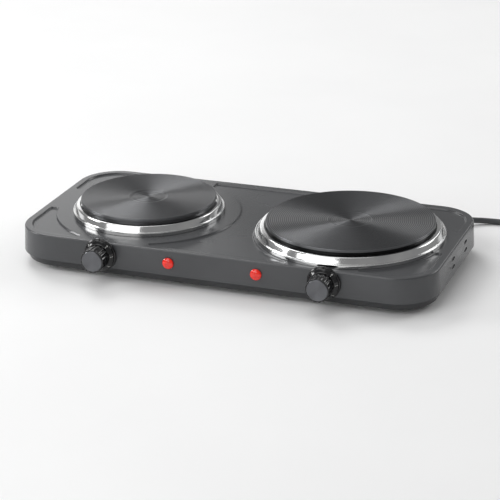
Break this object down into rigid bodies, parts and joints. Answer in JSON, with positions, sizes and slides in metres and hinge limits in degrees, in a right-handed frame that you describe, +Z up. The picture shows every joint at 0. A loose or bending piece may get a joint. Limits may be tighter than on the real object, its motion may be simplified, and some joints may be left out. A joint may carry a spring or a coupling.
{
  "type": "hot plate burner",
  "caption": "Two-plate electric hot plate: pressed dark housing on a base tray, a small and a large cast plate in bright rings, two turning knobs, red lamps and a mains lead.",
  "frame": {"origin": "on the surface that the feet stand on, in the middle of the appliance in plan, with the knobs counted and the mains lead not", "axes": "+X along the length to the right, +Y to the back, +Z up"},
  "size_m": [0.6419, 0.3326, 0.06],
  "materials": {
    "housing_enamel": "satin-gloss baked enamel on pressed steel",
    "tray_steel": "black painted pressed steel",
    "cast_iron": "finely turned, with a dark heat-resistant coating",
    "stainless": "bright polished stainless steel",
    "galvanised": "galvanised sheet",
    "knob_black": "gloss moulded",
    "knob_grey": "spun satin",
    "lamp_red": "clear red moulded",
    "rubber_black": "moulded",
    "nickel": "nickel plated steel",
    "brass": "as turned",
    "bakelite": "moulded thermoset",
    "ceramic": "fired steatite",
    "insulation": "pressed magnesia",
    "neon_glass": "clear",
    "wire_silicone": "silicone sleeve",
    "cord_pvc": "matt round sheath"
  },
  "bodies": {
    "chassis": {"top_housing": "housing_enamel", "base_tray": "tray_steel", "mains_terminal_block": "ceramic", "earth_stud": "brass", "cord_saddle": "bakelite", "cord_inside": "cord_pvc", "strain_relief": "rubber_black", "cord_run": "cord_pvc", "cord_coil": "cord_pvc", "cord_tail": "cord_pvc", "plug_body": "knob_black", "plug_pin_1": "nickel", "plug_pin_2": "nickel", "foot_front_left": "rubber_black", "foot_screw_front_left": "nickel", "foot_front_right": "rubber_black", "foot_screw_front_right": "nickel", "foot_back_left": "rubber_black", "foot_screw_back_left": "nickel", "foot_back_right": "rubber_black", "foot_screw_back_right": "nickel", "left_hot_plate": "cast_iron", "left_trim_ring": "stainless", "left_heating_winding": "insulation", "left_plate_cover": "galvanised", "left_clamp_bar": "galvanised", "left_clamp_bolt": "nickel", "left_plate_terminals": "ceramic", "left_knob_bezel": "knob_black", "left_regulator": "bakelite", "left_regulator_screw_1": "nickel", "left_regulator_screw_2": "nickel", "left_lamp_lens": "lamp_red", "left_neon_tube": "neon_glass", "mains_wire_left": "wire_silicone", "burner_wire_left": "wire_silicone", "right_hot_plate": "cast_iron", "right_trim_ring": "stainless", "right_heating_winding": "insulation", "right_plate_cover": "galvanised", "right_clamp_bar": "galvanised", "right_clamp_bolt": "nickel", "right_plate_terminals": "ceramic", "right_knob_bezel": "knob_black", "right_regulator": "bakelite", "right_regulator_screw_1": "nickel", "right_regulator_screw_2": "nickel", "right_lamp_lens": "lamp_red", "right_neon_tube": "neon_glass", "mains_wire_right": "wire_silicone", "burner_wire_right": "wire_silicone"},
    "left_control": {"left_knob": "knob_black", "left_knob_cap": "knob_grey", "left_spindle": "nickel"},
    "right_control": {"right_knob": "knob_black", "right_knob_cap": "knob_grey", "right_spindle": "nickel"}
  },
  "joints": [
    {"name": "left_knob_turn", "type": "hinge", "parent": "chassis", "child": "left_control", "pos_m": [-0.129, -0.1052, 0.0295], "axis": [0, 1, 0], "range_deg": [0, 280]},
    {"name": "right_knob_turn", "type": "hinge", "parent": "chassis", "child": "right_control", "pos_m": [0.1254, -0.1052, 0.0295], "axis": [0, 1, 0], "range_deg": [0, 280]}
  ]
}
